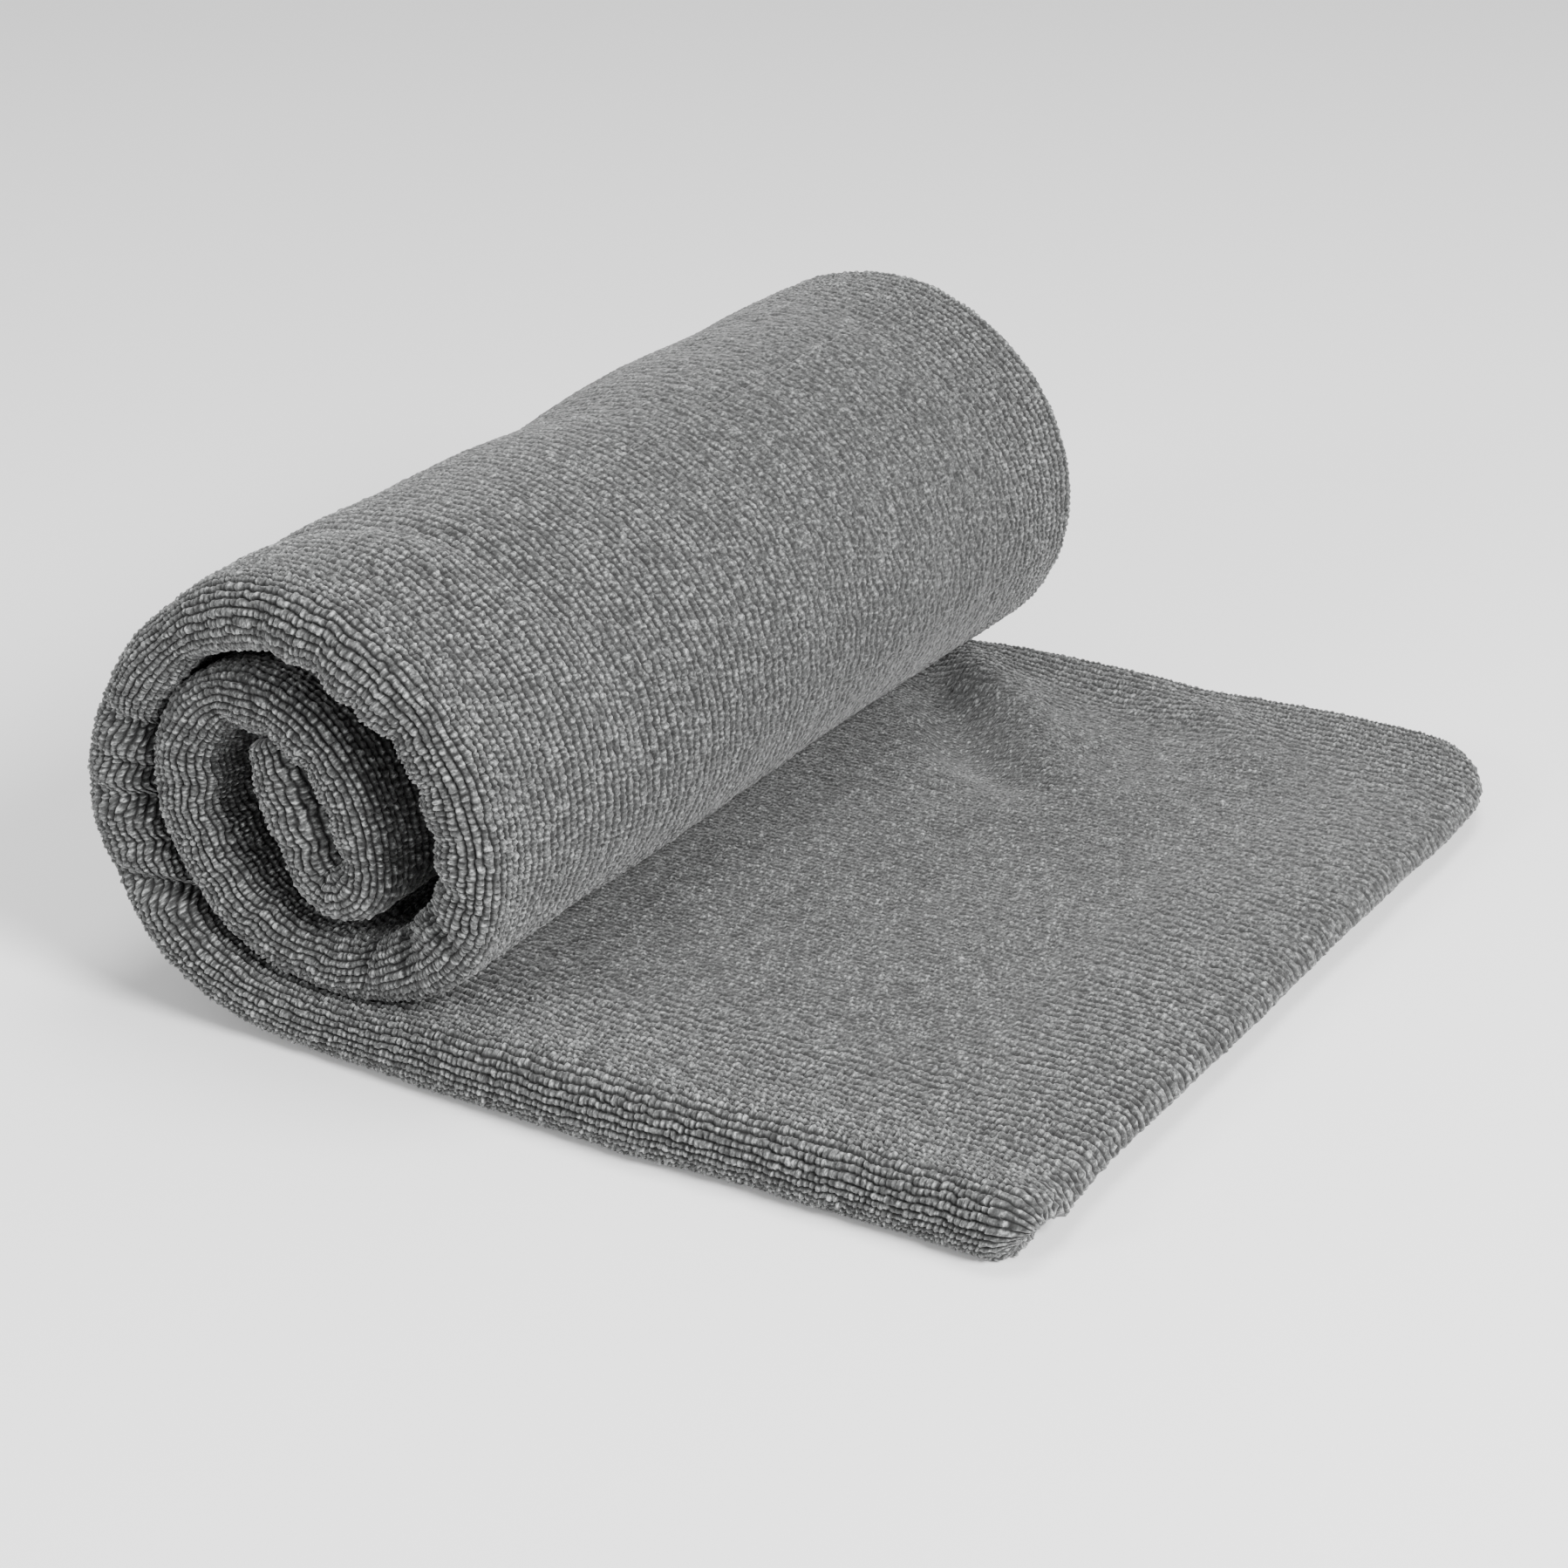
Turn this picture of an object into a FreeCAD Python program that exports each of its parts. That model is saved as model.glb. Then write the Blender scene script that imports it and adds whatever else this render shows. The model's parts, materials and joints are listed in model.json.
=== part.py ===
import FreeCAD, Part
import math
import os

# A quick dry towel, folded in half both ways into a band four plies thick,
# and rolled up from its hemmed ends, with a stretch of the band left flat as a loose end.
# The towel is one flexible cloth. It is built here as short rigid lengths of the folded band,
# hinged to each other along lines parallel to the roll, so that it can roll and unroll.
#
# Frame: +X along the loose end, +Y along the roll from the folded side to the open side,
# +Z up, origin on the floor under the middle of the whole towel. Millimetres and degrees.

# Driving dimensions
PLY = 2.3  # one ply of towelling, pile included
PLIES = 4
BAND = PLY * PLIES  # thickness of the folded band
WIDTH = 200.0  # width of the folded band, along Y
LOOSE_END = 131.0  # from under the roll's middle to the crosswise fold
ROLL_LEFT = 42.0  # from under the roll's middle to the roll's left side
GAP = 0.4  # clearance between neighbouring lengths, and between turns that rest on each other

# The loose end bends up at these hinges when it is wrapped round the roll.
BASE_REACH = 16.0  # from under the roll's middle to the first of these hinges
LOOSE_PITCH = 20.0  # distance between them
LOOSE_BENDS = [30.0, 30.0, 30.0, 25.0, 25.0, 25.0]

# The rolled part is a row of arcs that curl the same way: name, radius of the band's
# middle, angle of one length, and number of lengths.
ARCS = [
    ("outer_turn", 37.4, 30.0, 3),
    ("outer_turn", 35.0, 30.0, 3),
    ("outer_turn", 35.6, 30.0, 3),
    ("outer_turn", 27.2, 30.0, 3),
    ("inner_turn", 31.0, 30.0, 3),
    ("inner_turn", 14.0, 45.0, 2),
    ("inner_turn", 20.7, 30.0, 3),
]
CORE_DROP = 5.0  # straight stretch at the start of the core
CORE_RADIUS = 5.2  # its tight fold
CORE_SWEEP = 160.0
CORE_TONGUE = 18.8  # the last stretch, which ends at the towel's short hems

# Derived sizes
HALF = BAND / 2
MIDDLE_X = (ROLL_LEFT - LOOSE_END) / 2  # the roll's middle, in the towel's own frame
Y_AXIS = FreeCAD.Vector(0, 1, 0)


def point(x, z, y=0.0):
    return FreeCAD.Vector(x, y, z)


def forward(heading):
    """Unit vector in the XZ plane along the band."""
    angle = math.radians(heading)
    return point(math.cos(angle), math.sin(angle))


def left(heading):
    """Unit vector square to the band, on the side that closes as a hinge opens the roll."""
    return forward(heading + 90)


def hinge(place, heading, bend):
    """A hinge line: where it crosses the XZ plane, the way the band leaves it, its travel."""
    return {"place": place, "heading": heading, "bend": bend}


def section(place, heading):
    """Cross-section of the band: square at the open side, round at the lengthwise fold."""
    out = left(heading)
    far = Y_AXIS * (WIDTH / 2)
    near = Y_AXIS * (HALF - WIDTH / 2)
    fold = Y_AXIS * (-WIDTH / 2)
    corners = [
        place + far - out * HALF,
        place + far + out * HALF,
        place + near + out * HALF,
        place + near - out * HALF,
    ]
    edges = [
        Part.LineSegment(corners[0], corners[1]).toShape(),
        Part.LineSegment(corners[1], corners[2]).toShape(),
        Part.Arc(corners[2], place + fold, corners[3]).toShape(),
        Part.LineSegment(corners[3], corners[0]).toShape(),
    ]
    return Part.Face(Part.Wire(edges))


def straight(place, heading, length):
    """A straight length of band, and the point where it ends."""
    run = forward(heading) * length
    return section(place, heading).extrude(run), place + run


def arc(place, heading, radius, sweep):
    """A length of band that curls away from its left side, and the point where it ends."""
    centre = place - left(heading) * radius
    solid = section(place, heading).revolve(centre, Y_AXIS, sweep)
    return solid, centre + left(heading - sweep) * radius


def edge_points(joint, side):
    """Three points that cut a length's end at a hinge, from its right side to its left.

    side is 1 for the length after the hinge and -1 for the one before it. The left side is
    cut back by half the bend, so that two neighbours lie face to face once it is opened.
    """
    ahead = forward(joint["heading"]) * side
    out = left(joint["heading"])
    clear = ahead * (GAP / 2)
    cut_back = ahead * (BAND * math.tan(math.radians(joint["bend"] / 2)))
    place = joint["place"]
    return [place + clear - out * BAND, place + clear, place + clear + cut_back + out * BAND]


def trim(solid, outline):
    """Keep what lies inside an outline in the XZ plane."""
    start = Y_AXIS * (-WIDTH)
    corners = [corner + start for corner in outline]
    prism = Part.Face(Part.makePolygon(corners + corners[:1])).extrude(Y_AXIS * (2 * WIDTH))
    return solid.common(prism).Solids[0]


def loose_hinges():
    """The hinges of the loose end, from the base outwards."""
    joints = []
    for index, bend in enumerate(LOOSE_BENDS):
        place = point(MIDDLE_X + BASE_REACH + index * LOOSE_PITCH, HALF)
        joints.append(hinge(place, 0.0, bend))
    return joints


def roll_pieces():
    """Every rolled length in order: its name, and the hinge, radius and sweep it starts with.

    A hinge's bend is what lays the chords of the two lengths beside it in one line.
    """
    pieces = []
    place, heading, sweep_before = point(MIDDLE_X, HALF), 180.0, 0.0
    counts = {}
    for name, radius, sweep, number in ARCS:
        for _ in range(number):
            counts[name] = counts.get(name, 0) + 1
            joint = hinge(place, heading, (sweep_before + sweep) / 2)
            pieces.append((f"{name}_{counts[name]:02d}", joint, radius, sweep))
            centre = place - left(heading) * radius
            heading -= sweep
            place = centre + left(heading) * radius
            sweep_before = sweep
    pieces.append(("core_fold", hinge(place, heading, sweep_before / 2), None, None))
    return pieces


def base_panel():
    """The flat length under the roll, which everything else is hinged to."""
    to_roll = roll_pieces()[0][1]
    to_loose_end = loose_hinges()[0]
    solid, _ = straight(to_roll["place"], 0.0, BASE_REACH)
    return trim(solid, edge_points(to_roll, -1) + edge_points(to_loose_end, -1))


def loose_panel(start, end):
    """One flat length of the loose end. The last one has no hinge at its end."""
    if end is None:
        length = MIDDLE_X + LOOSE_END - start["place"].x
        solid, tip = straight(start["place"], 0.0, length)
        end_points = [tip + left(0.0) * side * BAND for side in (-1, 1)]
    else:
        solid, _ = straight(start["place"], 0.0, LOOSE_PITCH)
        end_points = edge_points(end, -1)
    return trim(solid, edge_points(start, 1) + end_points[::-1])


def rolled_length(start, end, radius, sweep):
    """One curled length of the roll."""
    solid, _ = arc(start["place"], start["heading"], radius, sweep)
    return trim(solid, edge_points(start, 1) + edge_points(end, -1)[::-1])


def core_fold(start):
    """The last length: straight down, folded tightly back, and up again as a tongue."""
    heading = start["heading"]
    drop, place = straight(start["place"], heading, CORE_DROP)
    drop_end = [place + left(heading) * side * BAND for side in (-1, 1)]
    drop = trim(drop, edge_points(start, 1) + drop_end[::-1])
    fold, place = arc(place, heading, CORE_RADIUS, CORE_SWEEP)
    tongue, _ = straight(place, heading - CORE_SWEEP, CORE_TONGUE)
    return drop.fuse([fold, tongue]).removeSplitter().Solids[0]


def towel():
    """Every node's solid, by name."""
    shapes = {"base_panel": base_panel()}
    joints = loose_hinges() + [None]
    for index in range(len(LOOSE_BENDS)):
        shapes[f"loose_end_{index + 1}"] = loose_panel(joints[index], joints[index + 1])
    pieces = roll_pieces()
    for (name, start, radius, sweep), (_, end, _, _) in zip(pieces, pieces[1:]):
        shapes[name] = rolled_length(start, end, radius, sweep)
    shapes["core_fold"] = core_fold(pieces[-1][1])
    return shapes


os.makedirs("parts", exist_ok=True)
for node, shape in towel().items():
    shape.exportStep(f"parts/{node}.step")
    print(node, "valid" if shape.isValid() else "INVALID", round(shape.Volume / 1000, 2), "cm3")
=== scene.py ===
import bpy
import json
import math
import numpy as np
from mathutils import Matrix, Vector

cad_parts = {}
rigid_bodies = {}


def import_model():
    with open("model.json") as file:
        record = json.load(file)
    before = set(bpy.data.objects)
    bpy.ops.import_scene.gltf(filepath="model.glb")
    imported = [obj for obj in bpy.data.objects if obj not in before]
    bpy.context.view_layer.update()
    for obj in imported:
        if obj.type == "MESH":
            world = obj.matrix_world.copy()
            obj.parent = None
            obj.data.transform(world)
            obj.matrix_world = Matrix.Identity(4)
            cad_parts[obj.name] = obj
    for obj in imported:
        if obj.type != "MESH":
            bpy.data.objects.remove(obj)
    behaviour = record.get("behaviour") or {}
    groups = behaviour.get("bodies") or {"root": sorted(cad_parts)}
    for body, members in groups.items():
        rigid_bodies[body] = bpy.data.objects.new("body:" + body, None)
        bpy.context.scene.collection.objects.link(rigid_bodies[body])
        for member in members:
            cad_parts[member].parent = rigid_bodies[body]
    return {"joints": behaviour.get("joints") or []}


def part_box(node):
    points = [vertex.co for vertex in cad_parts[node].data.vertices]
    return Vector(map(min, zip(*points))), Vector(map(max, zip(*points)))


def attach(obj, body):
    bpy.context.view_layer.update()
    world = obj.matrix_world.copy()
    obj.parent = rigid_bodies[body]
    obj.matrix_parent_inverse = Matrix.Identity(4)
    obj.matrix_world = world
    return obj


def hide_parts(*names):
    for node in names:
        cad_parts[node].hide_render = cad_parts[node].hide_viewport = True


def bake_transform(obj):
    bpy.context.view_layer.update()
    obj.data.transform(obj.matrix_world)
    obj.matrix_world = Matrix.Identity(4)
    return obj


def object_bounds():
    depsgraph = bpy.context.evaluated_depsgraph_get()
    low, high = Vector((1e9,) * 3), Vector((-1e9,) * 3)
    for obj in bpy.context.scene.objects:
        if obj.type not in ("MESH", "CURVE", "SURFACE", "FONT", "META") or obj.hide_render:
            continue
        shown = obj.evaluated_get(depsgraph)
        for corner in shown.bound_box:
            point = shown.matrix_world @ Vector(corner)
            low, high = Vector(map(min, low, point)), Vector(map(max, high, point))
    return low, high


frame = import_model()
cad_low, cad_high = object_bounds()

# A quick dry towel of grey microfibre terry. It is folded crosswise, then lengthwise, into a band
# four plies thick, and rolled up from its hemmed ends, with a stretch left flat as a loose end.
#
# The whole towel is one surface. A point of it has a place s along the band, counted from the
# crosswise fold at the loose end's tip, a place y along the roll, and a height n out of the
# band's middle, on the side that faces outwards in the roll and downwards in the loose end.
# Two sheets are nested in the band: the outer one is a U lying round the lengthwise fold, the
# inner one is a U inside it, and they meet at the crosswise fold. Lengths are millimetres.
MM = 0.001

# The band
HALF = float(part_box("base_panel")[1].z) / MM / 2  # half its thickness
NEAR = float(cad_low.y) / MM  # the lengthwise fold
FAR = float(cad_high.y) / MM  # the open side
TIP = float(cad_high.x) / MM  # the crosswise fold
CLOTH = 2.14  # one sheet's thickness, its lower pile included
OUTER_SHEET = HALF * 0.75  # how far each sheet's middle lies from the band's middle
INNER_SHEET = HALF * 0.25
BETWEEN = (OUTER_SHEET + INNER_SHEET) / 2 + 0.02  # where the two sheets meet

FOLD_ARC = HALF * math.pi / 2  # half the outer sheet's way round the lengthwise fold
REACH = FAR - NEAR - HALF - CLOTH / 2  # from the fold's centre to a hem's centre
SIDE = FOLD_ARC + REACH  # from the middle of the fold to a hem, along the cloth

# The core, past the last hinge
CORE_DROP = 5.0  # straight on from the hinge
CORE_RADIUS = 5.2  # the tight fold
CORE_SWEEP = 160.0  # how far it turns, in degrees
CORE_TONGUE = 23.0  # the straight end

# The pile
ROW = 2.04  # from one row of loops to the next
LOOP = 1.08  # from one loop to the next in a row
FREE_LOOP = 1.2  # between loops that have left their rows
RELIEF = 0.8  # a loop's height
MEAN_TONE = 0.66  # the pile's usual height, as a share of a loop's
BARE_TONE = 0.5  # how light the cloth is where it has no loops
FLOOR_CLEAR = 0.4  # below this height the loops are pressed by the floor
FLOOR_GIVE = 0.7  # and they sink at most this much further

# Mesh spacing
STEP = 0.34  # along the band
CORE_STEP = 0.4  # the same inside the roll
BACK_STEP = 2.0  # and on the hidden sheet at the tip
HEM_STEPS = 8  # round a hem
TIP_STEPS = 15  # round the crosswise fold
PLAIN_STEPS = 20  # columns on each half of a hidden face
SQUEEZED_ROWS = 4  # rows beside the lengthwise fold, where they are closest together
CLOSE_ROWS = 6  # and the next ones
EDGE_ROWS = 16  # rows beside the fold that always get a fine mesh
HEM_ROWS = 5  # the same beside a hem

# How far in from a piece's ends two points are worked out for it; the script does not use them
BLEND_INSET = 2.2

# Finish: the colours up a loop, painted shade in its groove and painted light on its crown, and the scale
# of the fibre and of the uneven tone, per millimetre
GROOVE_SHADE = (0.003, 0.0031, 0.00305, 1)
FLANK_HALF_SHADE = (0.04, 0.0411, 0.0407, 1)
CROWN_LIGHT = (0.142, 0.1458, 0.1443, 1)
FIBRE_SCALE = 2.5
PATCH_SCALE = 0.06

# Studio, in metres and watts: each lamp's place from the towel's middle, its size and its power
LAMPS = {
    "key": ((0.8, -0.3, 0.6), 0.4, 23),
    "fill": ((-0.35, -1.0, 0.45), 0.3, 6),
    "top": ((0.1, 0.1, 1.2), 0.6, 11),
}
SKY = 0.65
FLOOR_SIZE = 6.0
FLOOR_DROP = 0.0005
CAMERA_PLACE = (0.3061, -0.5323, 0.2944)
CAMERA_TILT = 66.0
CAMERA_TURN = 30.82
CAMERA_LENS = 86.46
CAMERA_SENSOR = 36


# ---------------------------------------------------------------- noise

def lattice(i, j, seed):
    """A fixed number from 0 to 1 for each pair of whole numbers."""
    mixed = (i * 374761393 + j * 668265263 + seed * 974634777) & 0xFFFFFFFF
    mixed = ((mixed ^ (mixed >> 13)) * 1274126177) & 0xFFFFFFFF
    return ((mixed ^ (mixed >> 16)) & 0xFFFF) / 65535.0


def ease(t):
    t = np.clip(t, 0.0, 1.0)
    return t * t * (3 - 2 * t)


def noise(x, y, seed):
    """Smooth noise from -1 to 1, with features one unit apart."""
    i = np.floor(x).astype(np.int64)
    j = np.floor(y).astype(np.int64)
    a = ease(x - i)
    b = ease(y - j)
    low = lattice(i, j, seed) * (1 - a) + lattice(i + 1, j, seed) * a
    high = lattice(i, j + 1, seed) * (1 - a) + lattice(i + 1, j + 1, seed) * a
    return 2 * (low * (1 - b) + high * b) - 1


def hill(x, centre, width):
    """A smooth rise of height 1."""
    return np.exp(-(((x - centre) / width) ** 2))


# ---------------------------------------------------------------- the band's line

def joint_place(name):
    """Where a joint's line crosses the XZ plane, in millimetres."""
    joint = next(j for j in frame["joints"] if j["name"] == name)
    return [joint["pos_m"][0] / MM, joint["pos_m"][2] / MM]


def core_points(x, z):
    """The core: straight down, back round a tight fold, and up as a tongue."""
    points = [[x, z - CORE_DROP * 0.6]]
    turn_x, turn_z = x - CORE_RADIUS, z - CORE_DROP
    for part in (0.12, 0.37, 0.63, 0.88):
        angle = -math.radians(CORE_SWEEP * part)
        points.append([turn_x + CORE_RADIUS * math.cos(angle), turn_z + CORE_RADIUS * math.sin(angle)])
    angle = -math.radians(CORE_SWEEP)
    place = np.array([turn_x + CORE_RADIUS * math.cos(angle), turn_z + CORE_RADIUS * math.sin(angle)])
    along = np.array([math.sin(angle), -math.cos(angle)])
    for part in (0.1, 0.4, 0.7, 1.0):
        points.append((place + along * CORE_TONGUE * part).tolist())
    return points


def spline(knots):
    """A natural cubic spline through the knots: fine points, and how far along them each knot is."""
    knots = np.array(knots)
    t = np.concatenate([[0], np.cumsum(np.linalg.norm(np.diff(knots, axis=0), axis=1))])
    gap = np.diff(t)
    number = len(t)
    system = np.eye(number)
    right_side = np.zeros((number, 2))
    for k in range(1, number - 1):
        system[k, k - 1:k + 2] = [gap[k - 1], 2 * (gap[k - 1] + gap[k]), gap[k]]
        right_side[k] = 6 * ((knots[k + 1] - knots[k]) / gap[k] - (knots[k] - knots[k - 1]) / gap[k - 1])
    bend = np.linalg.solve(system, right_side)
    fine = np.arange(0, t[-1], 0.1)
    k = np.clip(np.searchsorted(t, fine, side="right") - 1, 0, number - 2)
    after = (fine - t[k])[:, None]
    before = (t[k + 1] - fine)[:, None]
    width = gap[k][:, None]
    points = (
        bend[k] * before**3 / (6 * width)
        + bend[k + 1] * after**3 / (6 * width)
        + (knots[k] / width - bend[k] * width / 6) * before
        + (knots[k + 1] / width - bend[k + 1] * width / 6) * after
    )
    points = np.vstack([points, knots[-1]])
    length = np.concatenate([[0], np.cumsum(np.linalg.norm(np.diff(points, axis=0), axis=1))])
    return points, length, np.interp(t, np.append(fine, t[-1]), length)


WRAPS = [j["name"] for j in frame["joints"] if j["name"].startswith("wrap")]
UNROLLS = [j["name"] for j in frame["joints"] if j["name"].startswith("unroll")]
JOINT_PLACES = [joint_place(name) for name in WRAPS[::-1] + UNROLLS]
LINE, LENGTH, KNOTS = spline([[TIP, HALF]] + JOINT_PLACES + core_points(*JOINT_PLACES[-1]))
END = LENGTH[-1]
HEADING = np.unwrap(np.arctan2(np.gradient(LINE[:, 1]), np.gradient(LINE[:, 0])))
HINGE_AT = dict(zip(WRAPS[::-1] + UNROLLS, KNOTS[1:]))


def on_line(s):
    """The band's middle and its outward normal at s, in the XZ plane."""
    x = np.interp(s, LENGTH, LINE[:, 0])
    z = np.interp(s, LENGTH, LINE[:, 1])
    heading = np.interp(s, LENGTH, HEADING)
    return x, z, -np.sin(heading), np.cos(heading)


ROLL_START = HINGE_AT["unroll_01"]  # under the roll's middle
SECOND_TURN = HINGE_AT["unroll_13"]  # where the second turn lies on the loose end


# ---------------------------------------------------------------- the towel's own shape

def pleats(s, apart, seed):
    """Narrow creases across the band, 1 at their deepest, roughly so far apart."""
    place = s / apart + 0.35 * noise(s / (1.6 * apart), s * 0, seed)
    return (0.5 + 0.5 * np.cos(2 * math.pi * place)) ** 3


def by_fold(v):
    """1 at the lengthwise fold, falling to 0 on the band's inward side, where no crease reaches."""
    return ease((v + 45) / 25)


def creases(s, v):
    """Three deep creases where the roll's side bends most, slanting across the fold, and two between."""
    straight = s - ROLL_START - 0.4 * v
    deep = 4.6 * hill(straight, 69, 2.4) + 4.2 * hill(straight, 54.5, 2.2)
    deep = deep + 5.2 * hill(s - ROLL_START - 0.9 * v, 39, 2.4)
    deep = deep + 2.2 * hill(straight, 61.5, 1.8) + 1.8 * hill(straight, 46.5, 1.8)
    return deep * by_fold(v)


def gathers(s, v):
    """How deep the band's inward side is creased at the lengthwise fold, where the roll bends it."""
    left = 2.0 * hill(s, ROLL_START + 56, 22) + creases(s, v)
    pleated = 4.4 * pleats(s - 0.3 * v, 11.0, 12) * by_fold(v)
    low = hill(s, SECOND_TURN - 16, 19) * (1.2 + pleated)
    rim = 1.2 * hill(s, ROLL_START + 138, 42) * pleats(s, 11.5, 13)
    loose_end = 0.5 * ease((ROLL_START - 25 - s) / 15) * pleats(s, 15.0, 14)
    inside = 0.8 * ease((s - SECOND_TURN - 12) / 12) * pleats(s, 10.0, 15)
    return left + low + rim + loose_end + inside


def inwardness(v):
    """0 on the band's outward side, 1 on its inward side, and in between round the fold."""
    return ease(0.5 - v / (2 * FOLD_ARC))


def near_edge(s):
    """How far the lengthwise fold wanders from its straight line, positive into the roll."""
    wander = 0.6 * np.sin(s / 17.0 + 0.6) + 0.35 * np.sin(s / 7.3 + 2.0)
    sunk = 1.8 * ease((s - ROLL_START - 130) / 35) + 2.6 * hill(s, SECOND_TURN, 17)
    sunk = sunk + 1.2 * ease((s - SECOND_TURN - 15) / 20) + 1.5 * ease((s - SECOND_TURN - 95) / 12)
    return 0.6 * wander - 0.6 + sunk


def far_edge(s):
    """The same for the open side."""
    wander = 0.5 * np.sin(s / 19.0 + 1.1) + 0.25 * np.sin(s / 8.0)
    loose_end = 0.8 * hill(s, 92, 26) - 1.3 * hill(s, 24, 17) - 0.8 * ease((ROLL_START - s) / 30)
    return wander - 0.8 + loose_end


def tip_cut(y):
    """How much the crosswise fold draws back where it meets the sides, which rounds the corners."""
    near = np.clip(1 - (y - NEAR) / 9.0, 0, 1)
    far = np.clip(1 - (FAR - y) / 22.0, 0, 1)
    return 1.8 * near**2 + 13.0 * (1 - np.sqrt(1 - 0.96 * far**2)) + 0.5 * noise(y / 16, y * 0, 9) - 1.2


def shut(y):
    """1 where the upper ply's crosswise fold hangs over the lower one's, 0 in the near corner's dimple."""
    return ease((y - NEAR - 7.5) / 5.0)


def pressed(s):
    """1 where a turn of the band lies on another or on the floor, so that it can't puff up."""
    under_roll = hill(s, ROLL_START - 4, 20)
    on_loose_end = hill(s, SECOND_TURN - 8, 22)
    return np.clip(under_roll + on_loose_end, 0, 1)


def ripples(s, y):
    """Two soft ridges that run slantwise over the loose end from where the roll's far end lies on it."""
    x = TIP - s
    across = (x + y) / math.sqrt(2) + 2.0 * noise(s / 17, y / 17, 16)
    along = (y - x) / math.sqrt(2)
    ridges = 2.5 * hill(across, 49.5, 6.5) + 1.9 * hill(across, 86, 7.0)
    valleys = 3.8 * hill(across, 36, 7.0) + 1.3 * hill(across, 68, 10.0)
    return (ridges - valleys) * ease((along + 2) / 45) * ease((FAR - y - 1) / 14)


def dents(s, y):
    """The roll's outside: a slanting crease near its folded end, and shallow dents behind it."""
    creased = hill(s, ROLL_START + 120, 36)
    beside = y - (NEAR + 34 + 0.3 * (s - ROLL_START - 124))
    crease = 0.8 * hill(beside, -10, 9) - 1.0 * hill(beside, 2, 4.0)
    shallow = 0.7 * hill(s, ROLL_START + 132, 15) * hill(y, NEAR + 91, 24)
    shallow = shallow + 0.6 * hill(s, ROLL_START + 146, 13) * hill(y, NEAR + 56, 15)
    return creased * crease - shallow


def outer_face(s, y):
    """How far the band's outward face stands proud."""
    roll = ease((s - ROLL_START) / 30)
    uneven = 0.55 * noise(s / 38, y / 42, 3) + 0.4 * noise(s / 14, y / 19, 4)
    uneven = uneven + 0.15 * noise(s / 6, y / 8, 2)
    full = 0.6 + 0.8 * hill(y, FAR, 55) * hill(s, ROLL_START + 160, 45)
    full = full + 1.4 * ease((y - NEAR - 100) / 35) * hill(s, ROLL_START + 100, 45)
    shoulder = 2.6 * hill(y, NEAR, 24) * hill(s, ROLL_START + 82, 19)
    return roll * (uneven + dents(s, y) + full * (1 - pressed(s)) - shoulder)


def inner_face(s, y):
    """How far the band's inward face, the top of the loose end, moves outwards."""
    rim = hill(y, NEAR, 24)
    loose = 1 - ease((s - ROLL_START + 30) / 25)
    uneven = 0.45 * noise(s / 30, y / 33, 5) + 0.25 * noise(s / 12, y / 14, 6)
    wrinkles = 1.0 * noise(s / 4.5, y / 16.0, 7) * hill(s, ROLL_START + 52, 24)
    hollow = ease((s - SECOND_TURN - 8) / 10) * ease((END - s - 45) / 12)
    lumps = 1.2 * noise(s / 6.0, y / 12.0, 8) * hollow
    bulge = 3.4 * hill(s, SECOND_TURN - 20, 15)
    return loose * (uneven - 0.3 - ripples(s, y)) + (wrinkles + lumps - bulge) * rim


def puff(s, y, v):
    """The swelling of the cloth beside its lengthwise fold, most on the band's inward side."""
    free = 1 - 0.8 * pressed(s)
    swell = 0.9 + 0.3 * noise(s / 9.0, y / 9.0, 31)
    fuller = 1.3 * ease((ROLL_START - 20 - s) / 20) + 2.6 * hill(s, ROLL_START + 135, 40)
    fuller = fuller + 1.8 * ease((s - END + 40) / 8)
    lumps = 0.8 * noise(s / 6.5, y / 10.0, 33) * ease((s - ROLL_START) / 30) - 0.3 * gathers(s, v)
    return (swell + inwardness(v) * (fuller + lumps)) * hill(y, NEAR, 15) * free


def looseness(s, v):
    """How far the loops have left their rows: on the roll's outside, and on top of the loose end."""
    inside = ease((np.abs(v) - 18) / 34) * ease((SIDE - np.abs(v) - 8) / 25)
    on_top = inside * (v < 0) * ease((s - 12) / 25) * ease((ROLL_START - s) / 20)
    far = ease((np.abs(v) - 50) / 100)
    return inside * (0.15 + 0.45 * far), on_top


def rows_of_loops(s, v, loose):
    """The terry where its loops stand in rows, closer together round the lengthwise fold."""
    gathered = 6.0 + 3.0 * ease((ROLL_START - 15 - s) / 30)
    rows = (v + gathered * np.tanh(v / 8)) / ROW
    drift = 0.14 * noise(s / 4.0, v / 9.0, 21) + 0.2 * noise(s / 1.2, rows, 22)
    across = rows + drift + loose * 0.85 * noise(s / 1.5, v / 1.8, 23)
    row = np.floor(across).astype(np.int64)
    side = np.abs(2 * (across - row) - 1)
    start = lattice(row, row * 0, 24) * 0.5 + 0.5 * (row % 2)
    along = s / LOOP + start + 0.3 * noise(s / 2.6, v / ROW, 25)
    along = along + loose * 0.4 * noise(s / 1.4, v / 1.7, 26)
    loop = np.floor(along).astype(np.int64)
    end = np.abs(2 * (along - loop) - 1)
    crown = 0.42 + 0.3 * lattice(row, loop, 27)
    grain = 0.16 * noise(s / 0.8, v / 0.75, 28)
    return (1 - side**3.4) * (0.4 + crown * (1 - end**2.2) + grain)


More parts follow.
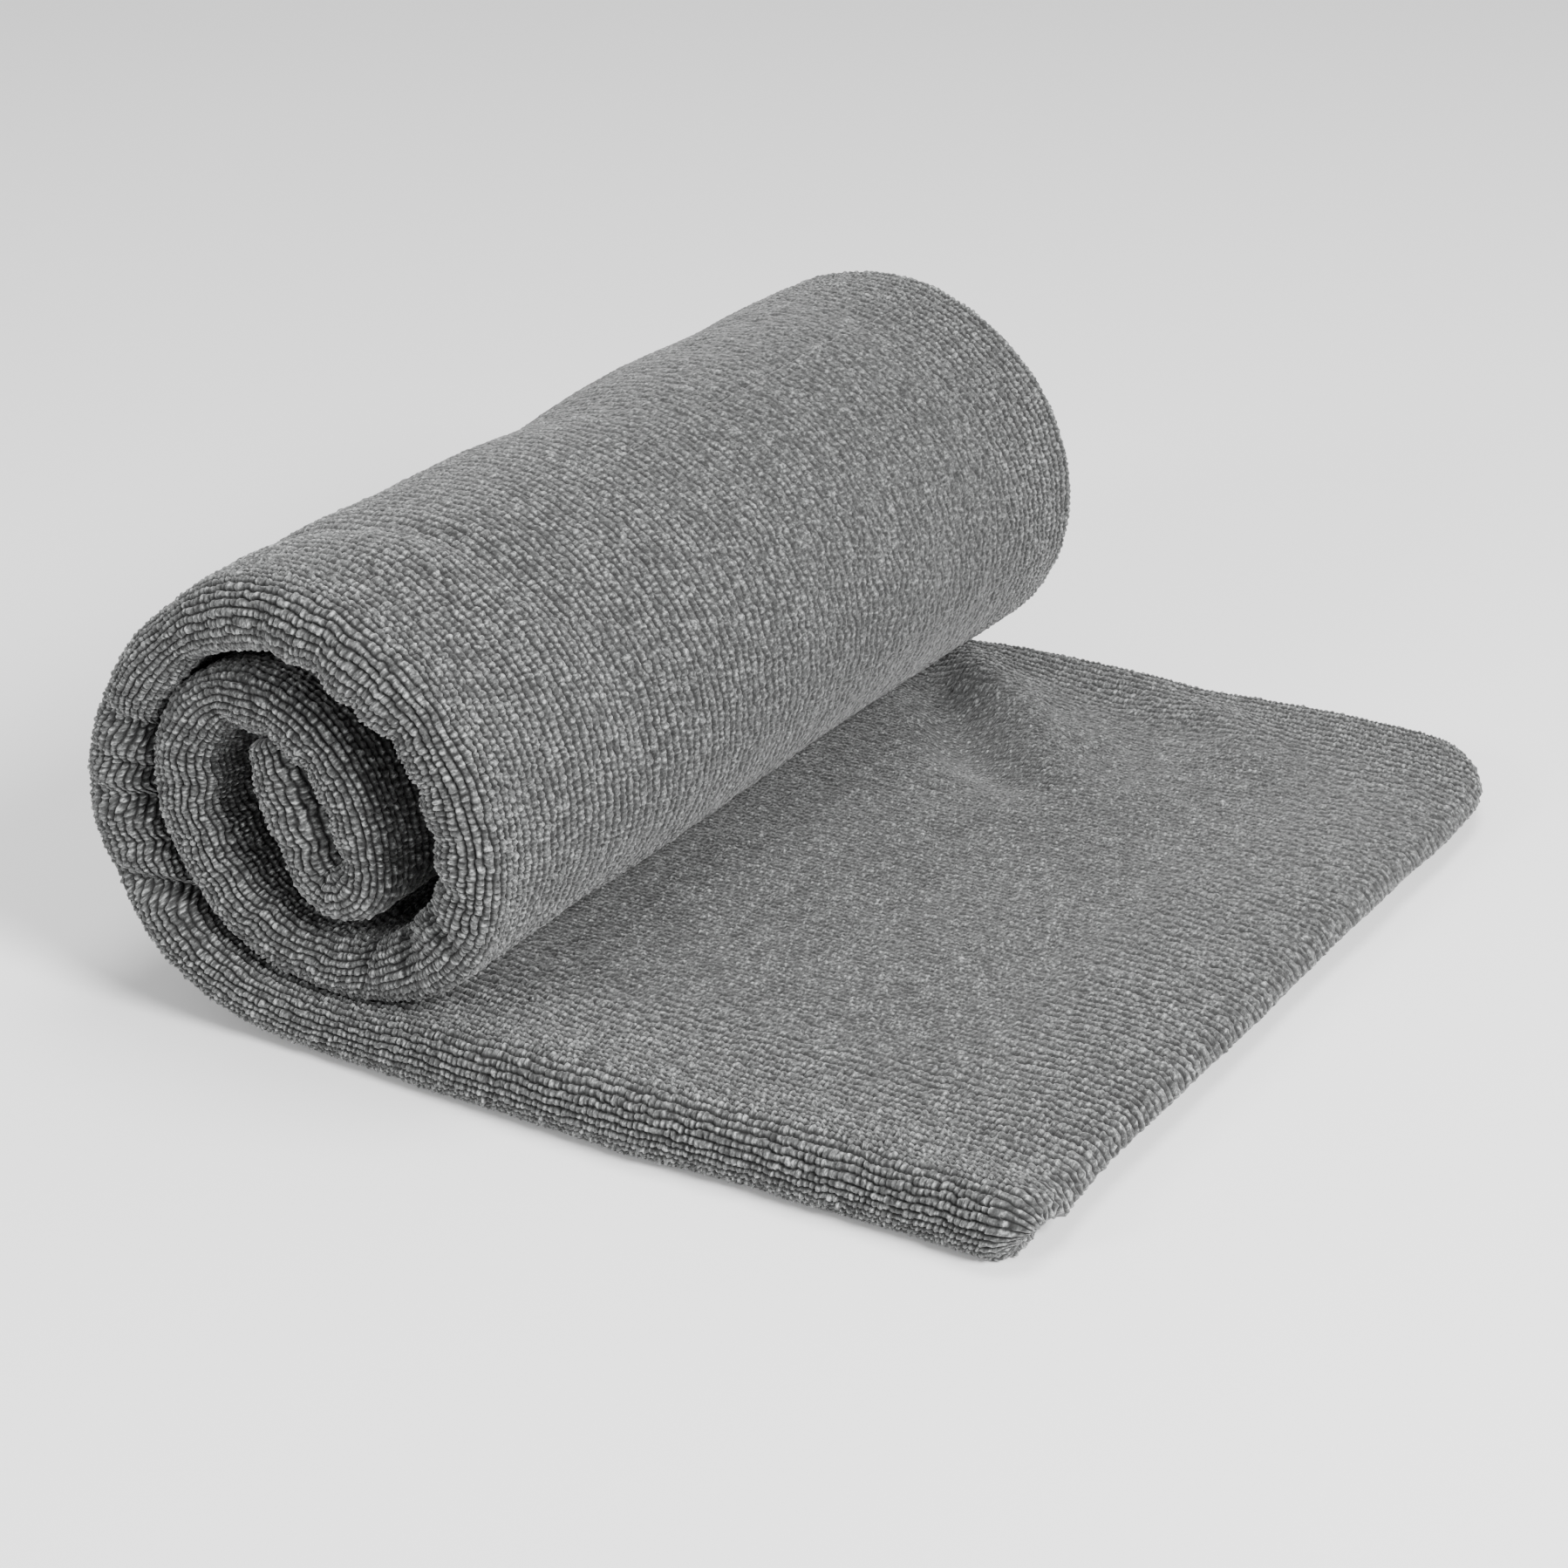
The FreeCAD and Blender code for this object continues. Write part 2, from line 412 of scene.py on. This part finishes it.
def free_loops(s, v):
    """The terry where its loops have left their rows and stand singly."""
    across = v / FREE_LOOP + 0.4 * noise(s / 1.7, v / 1.7, 29)
    row = np.floor(across).astype(np.int64)
    side = 2 * (across - row) - 1
    along = s / FREE_LOOP + 0.5 * (row % 2) + 0.3 * lattice(row, row * 0, 31)
    along = along + 0.4 * noise(s / 1.7, v / 1.7, 30)
    loop = np.floor(along).astype(np.int64)
    end = 2 * (along - loop) - 1
    crown = 0.45 + 0.45 * lattice(row, loop, 32)
    return 0.3 + crown * (1 - side**2) * (1 - end**2) + 0.1 * noise(s / 2.5, v / 2.5, 33)


def pile(s, v):
    """The height of the terry: 0 in the grooves, about 1 on a loop's crown."""
    loose, on_top = looseness(s, v)
    height = rows_of_loops(s, v, np.maximum(loose, on_top))
    height = height + 0.75 * loose * (1 - on_top) * (MEAN_TONE - height)
    return height + 0.85 * on_top * (free_loops(s, v) - height)


def on_floor(z):
    """Heights above the floor, with the loops that reach it pressed flat."""
    sunk = FLOOR_GIVE * (1 - np.exp(np.minimum(z - FLOOR_CLEAR, 0) / FLOOR_GIVE))
    return np.where(z < FLOOR_CLEAR, FLOOR_CLEAR - sunk, z)


# ---------------------------------------------------------------- cross-sections

def columns_in_row(row, rows, fine):
    """How many columns a row of loops gets, the lengthwise fold's row being 0."""
    if row < SQUEEZED_ROWS:
        return 11
    if row < CLOSE_ROWS:
        return 8
    if row < EDGE_ROWS:
        return 5
    return max(fine, 4 if row >= rows - HEM_ROWS else 2)


def piled_places(fine_out, fine_in):
    """Where the columns of a face with pile lie, from hem to hem."""
    rows = round(SIDE / ROW)
    places = [0.0]
    for row in range(rows):
        for side, fine in ((1, fine_out), (-1, fine_in)):
            steps = columns_in_row(row, rows, fine)
            places += [side * (row + (k + 1) / steps) * SIDE / rows for k in range(steps)]
    return np.array(sorted(places))


def plain_places():
    """The same for a hidden face."""
    return np.concatenate([
        -np.linspace(SIDE, FOLD_ARC, PLAIN_STEPS),
        np.linspace(-0.8, 0.8, 7) * FOLD_ARC,
        np.linspace(FOLD_ARC, SIDE, PLAIN_STEPS),
    ])


def outer_columns(fine_out, fine_in):
    """The outer sheet's closed outline across the band, as arrays with one value a column.

    fine_out and fine_in are how many columns a row of loops gets on the outward and inward
    sides. Beside the fold and the hems it may get more.
    """
    outer = sheet_face(piled_places(fine_out, fine_in), HALF, 1)
    inner = sheet_face(plain_places()[::-1], OUTER_SHEET - CLOTH / 2, -1)
    return join_faces(outer, inner, OUTER_SHEET)


def inner_columns():
    """The inner sheet's closed outline across the band. Only its hems show, so only they have pile."""
    v = plain_places()
    outer = sheet_face(v, INNER_SHEET + CLOTH / 2, 1)
    outer["soft"] = outer["soft"] * 0
    inner = sheet_face(v[::-1], max(INNER_SHEET - CLOTH / 2, 0.06), -1)
    return join_faces(outer, inner, INNER_SHEET)


def sheet_face(v, radius, way):
    """One face of a sheet: where its points lie and which way they look."""
    angle = np.clip(v / FOLD_ARC, -1, 1) * math.pi / 2
    along = np.clip((np.abs(v) - FOLD_ARC) / REACH, 0, 1)
    return {
        "v": v,
        "along": along,
        "bulge": np.zeros_like(v),
        "turn": angle,
        "radius": np.full_like(v, radius),
        "out_y": -np.cos(angle) * way,
        "out_n": np.sin(angle) * way,
        "soft": np.full_like(v, float(way > 0)),
    }


def hem_face(side, middle, back):
    """The round edge of a sheet at the open side, from its outer face to its inner one, or back."""
    psi = np.linspace(0, math.pi, HEM_STEPS + 2)[1:-1]
    if back:
        psi = psi[::-1]
    angle = np.full_like(psi, side * math.pi / 2)
    piled = ease((2.4 - psi) / 0.8)
    if middle < OUTER_SHEET:
        piled = piled * ease(psi / 0.8)
    return {
        "v": side * (SIDE + psi * CLOTH / 2),
        "along": np.ones_like(psi),
        "bulge": CLOTH / 2 * np.sin(psi),
        "turn": angle,
        "radius": middle + CLOTH / 2 * np.cos(psi),
        "out_y": np.sin(psi),
        "out_n": side * np.cos(psi),
        "soft": piled,
    }


def join_faces(outer, inner, middle):
    """The closed outline: outer face, hem, inner face, hem."""
    parts = [outer, hem_face(1, middle, False), inner, hem_face(-1, middle, True)]
    columns = {key: np.concatenate([part[key] for part in parts]) for key in outer}
    columns["middle"] = np.full_like(columns["v"], middle)
    return columns


# ---------------------------------------------------------------- from the towel to space

def place_rows(s, columns, radius, loops_at, bend=0.0, lift=1.0):
    """Points of a grid: one row for each s, one column for each column of the outline.

    radius is the distance from the fold's centre line, loops_at the place along the pile's rows,
    bend the angle turned over the crosswise fold, and lift the share of the pile's full height.
    """
    across = columns["v"][None]
    yc = NEAR + HALF + near_edge(s) + inwardness(across) * gathers(s, across)
    yf = FAR - CLOTH / 2 - far_edge(s)
    turn = columns["turn"][None]
    y = yc + columns["along"] * (yf - yc) + columns["bulge"] - radius * np.cos(turn)
    n = radius * np.sin(turn) * (1 - 0.45 * ease((s - END + 9) / 9))
    soft = columns["soft"][None] * lift * ease((2.6 - bend) / 0.5)
    height = pile(loops_at, across) * soft
    steep = 1 + 0.45 * hill(columns["v"], -6, 26)
    outwards = (columns["middle"] >= OUTER_SHEET) * puff(s, y, across) * soft
    proud = outwards + RELIEF * steep * (height - 0.75) * soft
    y = y + proud * columns["out_y"] * np.cos(bend)
    n = n + proud * columns["out_n"] * np.cos(bend)
    share = np.clip(n / HALF, -1, 1)
    n = n + outer_face(s, y) * (1 + share) / 2 + inner_face(s, y) * (1 - share) / 2
    past_tip = np.clip(s, 0, None)
    n = n + shut(y) * np.exp(-past_tip / 5) * (1.4 * (1 - share**2) + 0.9 * (1 - share))
    overhang = 2.1 * (0.6 + 0.4 * shut(y)) * np.clip(2 * share, -1, 1) * np.exp(-past_tip / 8)
    drawn = s - proud * np.sin(bend) + tip_cut(y) * np.exp(-past_tip / 12) + overhang
    x, z, nx, nz = on_line(np.clip(drawn, 0, END))
    x = x + np.clip(-drawn, 0, None)
    # the tone below is the mask for the painted shade in the grooves and the painted light on the crowns,
    # stronger beside the fold
    vivid = 1 + 0.5 * hill(across, 0, 70)
    tone = MEAN_TONE * soft + vivid * (height - MEAN_TONE * soft) + BARE_TONE * (1 - soft)
    return np.stack([x + nx * n, y, on_floor(z + nz * n)], axis=-1), np.clip(tone, 0, 1.2)


def grid_faces(rows, columns, first=0):
    """Four-sided faces of a grid whose columns close into a ring."""
    r = np.arange(rows - 1)[:, None] * columns
    c = np.arange(columns)[None]
    nxt = (c + 1) % columns
    corners = [r + c, r + columns + c, r + columns + nxt, r + nxt]
    return np.stack(corners, axis=-1).reshape(-1, 4) + first


class Cloth:
    """Gathers grids into one mesh."""

    def __init__(self):
        self.points, self.heights, self.places, self.quads, self.caps = [], [], [], [], []
        self.count = 0

    def add(self, points, heights, s, columns):
        """A tube of cloth: a grid whose columns close into a ring, capped at both ends."""
        rows, width = points.shape[:2]
        self.points.append(points.reshape(-1, 3))
        self.heights.append(heights.reshape(-1))
        at = np.broadcast_to(s, (rows, width))
        across = np.broadcast_to(columns["v"][None], (rows, width))
        soft = np.broadcast_to(columns["soft"][None], (rows, width))
        self.places.append(np.stack([at, across, soft], axis=-1).reshape(-1, 3))
        self.quads.append(grid_faces(rows, width, self.count))
        self.caps.append(np.arange(width) + self.count)
        self.caps.append(np.arange(width)[::-1] + self.count + (rows - 1) * width)
        self.count += rows * width

    def object(self, name, material):
        points = np.concatenate(self.points) * MM
        quads = np.concatenate(self.quads)
        corners = np.concatenate([quads.ravel()] + self.caps)
        sizes = np.concatenate([np.full(len(quads), 4), [len(cap) for cap in self.caps]]).astype(int)
        starts = np.concatenate([[0], np.cumsum(sizes)[:-1]])
        mesh = bpy.data.meshes.new(name)
        mesh.vertices.add(len(points))
        mesh.vertices.foreach_set("co", points.ravel())
        mesh.loops.add(len(corners))
        mesh.loops.foreach_set("vertex_index", corners.astype(np.int32))
        mesh.polygons.add(len(sizes))
        mesh.polygons.foreach_set("loop_start", starts.astype(np.int32))
        smooth = np.arange(len(sizes)) < len(quads)
        mesh.polygons.foreach_set("use_smooth", smooth)
        mesh.update(calc_edges=True)
        # the pile's tone, which the towelling turns into painted shade in the grooves and painted light on
        # the crowns
        height = mesh.attributes.new("pile", "FLOAT", "POINT")
        height.data.foreach_set("value", np.concatenate(self.heights).astype(np.float32))
        place = mesh.attributes.new("cloth", "FLOAT_VECTOR", "POINT")
        place.data.foreach_set("vector", np.concatenate(self.places).astype(np.float32).ravel())
        mesh.materials.append(material)
        made = bpy.data.objects.new(name, mesh)
        bpy.context.scene.collection.objects.link(made)
        return made


def rows_between(start, end, step):
    return np.linspace(start, end, max(2, int(math.ceil((end - start) / step)) + 1))


def stretch(name, start, end, fine_out, fine_in, material):
    """A stretch of the band between two places along it."""
    cloth = Cloth()
    step = STEP if start < SECOND_TURN + 20 else CORE_STEP
    s = rows_between(start, end, step)[:, None]
    for columns in (outer_columns(fine_out, fine_in), inner_columns()):
        points, heights = place_rows(s, columns, columns["radius"][None], s)
        cloth.add(points, heights, s, columns)
    return cloth.object(name, material)


def tip(name, end, material):
    """The stretch that ends in the crosswise fold, where the outer sheet turns into the inner."""
    columns = outer_columns(4, 6)
    flat = rows_between(BETWEEN, end, STEP)[::-1, None]
    turn = np.linspace(0, math.pi, TIP_STEPS)[1:-1, None]
    back = rows_between(BETWEEN, end, BACK_STEP)[:, None]
    outer_radius = columns["radius"][None]
    reach = outer_radius - BETWEEN
    radius = np.concatenate([
        outer_radius + 0 * flat,
        BETWEEN + reach * np.cos(turn),
        2 * BETWEEN - outer_radius + 0 * back,
    ])
    s = np.concatenate([flat + 0 * reach, BETWEEN - reach * np.sin(turn), back + 0 * reach])
    loops_at = np.concatenate([flat, BETWEEN * (1 - turn), BETWEEN * (2 - math.pi) - back])
    bend = np.concatenate([0 * flat, turn, 0 * back + math.pi])
    points, heights = place_rows(s, columns, radius, loops_at, bend)
    cloth = Cloth()
    cloth.add(points[::-1], heights[::-1], loops_at[::-1], columns)
    return cloth.object(name, material)


def core(name, start, material):
    """The last stretch, which ends in the short hems."""
    cloth = Cloth()
    for columns, short in ((outer_columns(2, 2), 0.0), (inner_columns(), 1.2)):
        end = END - short
        round_off = CLOTH / 2 * (1 - np.cos(np.linspace(0, math.pi / 2, 6)))[:-1][::-1]
        s = np.concatenate([rows_between(start, end - CLOTH / 2, CORE_STEP), end - round_off])[:, None]
        near_end = np.clip((s - end + CLOTH / 2) / (CLOTH / 2), 0, 0.995)
        thin = np.sqrt(1 - near_end**2)
        middle = columns["middle"][None]
        radius = middle + (columns["radius"][None] - middle) * thin
        points, heights = place_rows(s, columns, radius, s, lift=thin)
        cloth.add(points, heights, s, columns)
    return cloth.object(name, material)


# ---------------------------------------------------------------- materials

def towelling():
    """Grey microfibre terry: loops with painted light on their crowns and painted shade in their grooves,
    and fine fibre with painted glints.
    """
    material = bpy.data.materials.new("towelling")
    material.use_nodes = True
    nodes = material.node_tree.nodes
    links = material.node_tree.links
    shader = nodes["Principled BSDF"]
    place = nodes.new("ShaderNodeAttribute")
    place.attribute_name = "cloth"
    height = nodes.new("ShaderNodeAttribute")
    height.attribute_name = "pile"

    fibre = nodes.new("ShaderNodeTexNoise")
    fibre.inputs["Scale"].default_value = FIBRE_SCALE
    fibre.inputs["Detail"].default_value = 2.0
    fibre.inputs["Roughness"].default_value = 0.6
    across = nodes.new("ShaderNodeVectorMath")
    across.operation = "MULTIPLY"
    across.inputs[1].default_value = (1.0, 0.6, 1.0)
    links.new(place.outputs["Vector"], across.inputs[0])
    links.new(across.outputs["Vector"], fibre.inputs["Vector"])

    patch = nodes.new("ShaderNodeTexNoise")
    patch.inputs["Scale"].default_value = PATCH_SCALE
    patch.inputs["Detail"].default_value = 2.0
    links.new(place.outputs["Vector"], patch.inputs["Vector"])

    # painted shade and light: the colour darkens down into the grooves, where shade falls between the
    # loops, and lightens on the lit crowns
    painted_groove_shade = nodes.new("ShaderNodeValToRGB")
    painted_groove_shade.color_ramp.elements[0].position = 0.2
    painted_groove_shade.color_ramp.elements[0].color = GROOVE_SHADE
    painted_groove_shade.color_ramp.elements[1].position = 1.0
    painted_groove_shade.color_ramp.elements[1].color = CROWN_LIGHT
    middle = painted_groove_shade.color_ramp.elements.new(0.6)
    middle.color = FLANK_HALF_SHADE
    links.new(height.outputs["Fac"], painted_groove_shade.inputs["Fac"])

    # painted glints: the fibre noise puts bright specks of sparkle, dark between them, into the colour
    painted_glint = nodes.new("ShaderNodeValToRGB")
    painted_glint.color_ramp.elements[0].position = 0.37
    painted_glint.color_ramp.elements[0].color = (0.11, 0.11, 0.11, 1)
    painted_glint.color_ramp.elements[1].position = 0.68
    painted_glint.color_ramp.elements[1].color = (1, 1, 1, 1)
    half_lit = painted_glint.color_ramp.elements.new(0.53)
    half_lit.color = (0.3, 0.3, 0.3, 1)
    links.new(fibre.outputs["Fac"], painted_glint.inputs["Fac"])

    tone = nodes.new("ShaderNodeMapRange")
    tone.inputs["From Min"].default_value = 0.3
    tone.inputs["From Max"].default_value = 0.7
    tone.inputs["To Min"].default_value = 2.3
    tone.inputs["To Max"].default_value = 2.65
    links.new(patch.outputs["Fac"], tone.inputs["Value"])

    shade = nodes.new("ShaderNodeMath")
    shade.operation = "MULTIPLY"
    links.new(painted_glint.outputs["Color"], shade.inputs[0])
    links.new(tone.outputs["Result"], shade.inputs[1])

    colour = nodes.new("ShaderNodeVectorMath")
    colour.operation = "SCALE"
    links.new(painted_groove_shade.outputs["Color"], colour.inputs[0])
    links.new(shade.outputs["Value"], colour.inputs["Scale"])
    links.new(colour.outputs["Vector"], shader.inputs["Base Color"])

    rough = nodes.new("ShaderNodeMapRange")
    rough.inputs["To Min"].default_value = 0.95
    rough.inputs["To Max"].default_value = 0.62
    links.new(fibre.outputs["Fac"], rough.inputs["Value"])
    links.new(rough.outputs["Result"], shader.inputs["Roughness"])

    bump = nodes.new("ShaderNodeBump")
    bump.inputs["Strength"].default_value = 0.8
    bump.inputs["Distance"].default_value = 0.0003
    links.new(fibre.outputs["Fac"], bump.inputs["Height"])
    links.new(bump.outputs["Normal"], shader.inputs["Normal"])

    shader.inputs["Sheen Weight"].default_value = 0.25
    shader.inputs["Sheen Roughness"].default_value = 0.5
    shader.inputs["Specular IOR Level"].default_value = 0.35
    return material


def plain(name, colour, roughness):
    material = bpy.data.materials.new(name)
    material.use_nodes = True
    shader = material.node_tree.nodes["Principled BSDF"]
    shader.inputs["Base Color"].default_value = (*colour, 1)
    shader.inputs["Roughness"].default_value = roughness
    return material


# ---------------------------------------------------------------- the towel

def at(s):
    """A point of the band's middle, in metres."""
    x, z, _, _ = on_line(s)
    return (float(x) * MM, 0.0, float(z) * MM)


def declare(body_nodes):
    """Hides the parts that the piece stands for."""
    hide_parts(*body_nodes)


def build_towel():
    """One piece of cloth across every hinge, from the middle of one length to that of the next."""
    material = towelling()
    joints = {j["name"]: j for j in frame["joints"]}
    names = WRAPS[::-1] + UNROLLS
    hinges = [HINGE_AT[name] for name in names]
    middles = [(a + b) / 2 for a, b in zip(hinges, hinges[1:])]
    middles.append(hinges[-1] + CORE_DROP / 2)
    for index, name in enumerate(names):
        joint = joints[name]
        end = middles[index]
        wraps = name in WRAPS
        if index == 0:
            start = 0.0
            piece = tip(f"towelling_{joint['child']}", end, material)
            blend_start = 2 * hinges[0] - end
        else:
            start = middles[index - 1]
            blend_start = start
            visible_out = 5 if name in UNROLLS[:14] else 2
            visible_in = 6 if wraps or name == "unroll_01" else 2
            piece = stretch(f"towelling_{joint['child']}", start, end, visible_out, visible_in, material)
        ends = (at(blend_start + BLEND_INSET), at(end - BLEND_INSET))
        if wraps:
            ends = ends[::-1]
        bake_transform(piece)
        stood_for = [joint["child"]]
        if name == "unroll_01":
            stood_for.append(joint["parent"])
        declare(stood_for)
    piece = core("towelling_core", middles[-1], material)
    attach(piece, "core_fold")
    declare(["core_fold"])


# ---------------------------------------------------------------- studio

def area_light(name, place, target, size, power):
    lamp = bpy.data.lights.new(name, "AREA")
    lamp.shape = "DISK"
    lamp.size = size
    lamp.energy = power
    made = bpy.data.objects.new(name, lamp)
    made.location = place
    aim = target - made.location
    made.rotation_euler = aim.to_track_quat("-Z", "Y").to_euler()
    bpy.context.scene.collection.objects.link(made)


def studio():
    """A pale floor, soft lamps, and the camera at its viewing angle."""
    scene = bpy.context.scene
    mesh = bpy.data.meshes.new("floor")
    corners = [(x * FLOOR_SIZE, y * FLOOR_SIZE, 0) for x, y in ((-1, -1), (1, -1), (1, 1), (-1, 1))]
    mesh.from_pydata(corners, [], [(0, 1, 2, 3)])
    floor = bpy.data.objects.new("floor", mesh)
    mesh.materials.append(plain("floor_white", (0.9, 0.9, 0.9), 0.9))
    scene.collection.objects.link(floor)
    floor.location.z = -FLOOR_DROP

    world = bpy.data.worlds.new("studio")
    world.use_nodes = True
    background = world.node_tree.nodes["Background"]
    background.inputs["Color"].default_value = (1, 1, 1, 1)
    background.inputs["Strength"].default_value = SKY
    scene.world = world

    middle = (cad_low + cad_high) / 2
    for name, (offset, width, power) in LAMPS.items():
        area_light(name, middle + type(middle)(offset), middle, width, power)

    lens = bpy.data.cameras.new("camera")
    lens.lens = CAMERA_LENS
    lens.sensor_width = CAMERA_SENSOR
    camera = bpy.data.objects.new("camera", lens)
    camera.location = CAMERA_PLACE
    camera.rotation_euler = (math.radians(CAMERA_TILT), 0, math.radians(CAMERA_TURN))
    scene.collection.objects.link(camera)
    scene.camera = camera


studio()
build_towel()
